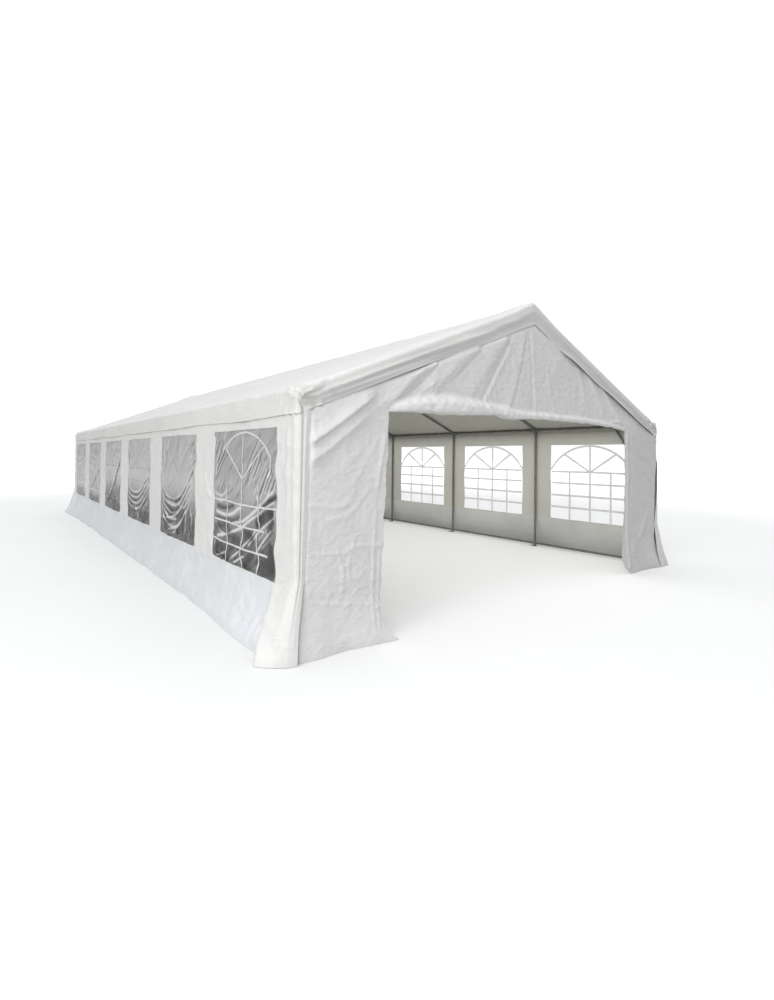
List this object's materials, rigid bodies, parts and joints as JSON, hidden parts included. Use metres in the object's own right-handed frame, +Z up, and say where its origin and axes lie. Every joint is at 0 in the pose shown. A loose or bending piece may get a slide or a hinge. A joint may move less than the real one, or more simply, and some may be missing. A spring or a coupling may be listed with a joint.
{
  "type": "marquee tent",
  "caption": "Gabled party marquee: white tarpaulin roof and windowed side walls on a steel tube frame, open front doorway with its door rolled up.",
  "frame": {"origin": "on the ground, under the middle of the ridge", "axes": "+Z up, +Y along the tent from the open front to the closed back, +X to the right as seen from the front"},
  "size_m": [6.2706, 11.9812, 3.23],
  "materials": {
    "steel": "galvanised, dull",
    "tarpaulin": "woven polyethylene, satin",
    "clear_film": "clear, creased"
  },
  "bodies": {
    "root": {"ridge_purlin": "steel", "left_eave_purlin": "steel", "right_eave_purlin": "steel", "left_base_rail": "steel", "right_base_rail": "steel", "left_post_1": "steel", "left_post_2": "steel", "left_post_3": "steel", "left_post_4": "steel", "left_post_5": "steel", "left_post_6": "steel", "left_post_7": "steel", "right_post_1": "steel", "right_post_2": "steel", "right_post_3": "steel", "right_post_4": "steel", "right_post_5": "steel", "right_post_6": "steel", "right_post_7": "steel", "left_rafter_1": "steel", "left_rafter_2": "steel", "left_rafter_3": "steel", "left_rafter_4": "steel", "left_rafter_5": "steel", "left_rafter_6": "steel", "left_rafter_7": "steel", "right_rafter_1": "steel", "right_rafter_2": "steel", "right_rafter_3": "steel", "right_rafter_4": "steel", "right_rafter_5": "steel", "right_rafter_6": "steel", "right_rafter_7": "steel", "front_left_brace": "steel", "front_right_brace": "steel", "back_left_brace": "steel", "back_right_brace": "steel", "roof_cover": "tarpaulin", "left_wall": "tarpaulin", "right_wall": "tarpaulin", "front_left_panel": "tarpaulin", "front_right_panel": "tarpaulin", "front_gable": "tarpaulin", "front_door_roll": "tarpaulin", "back_wall": "tarpaulin", "back_door_curtain": "tarpaulin", "left_window_film": "clear_film", "right_window_film": "clear_film"}
  },
  "joints": []
}
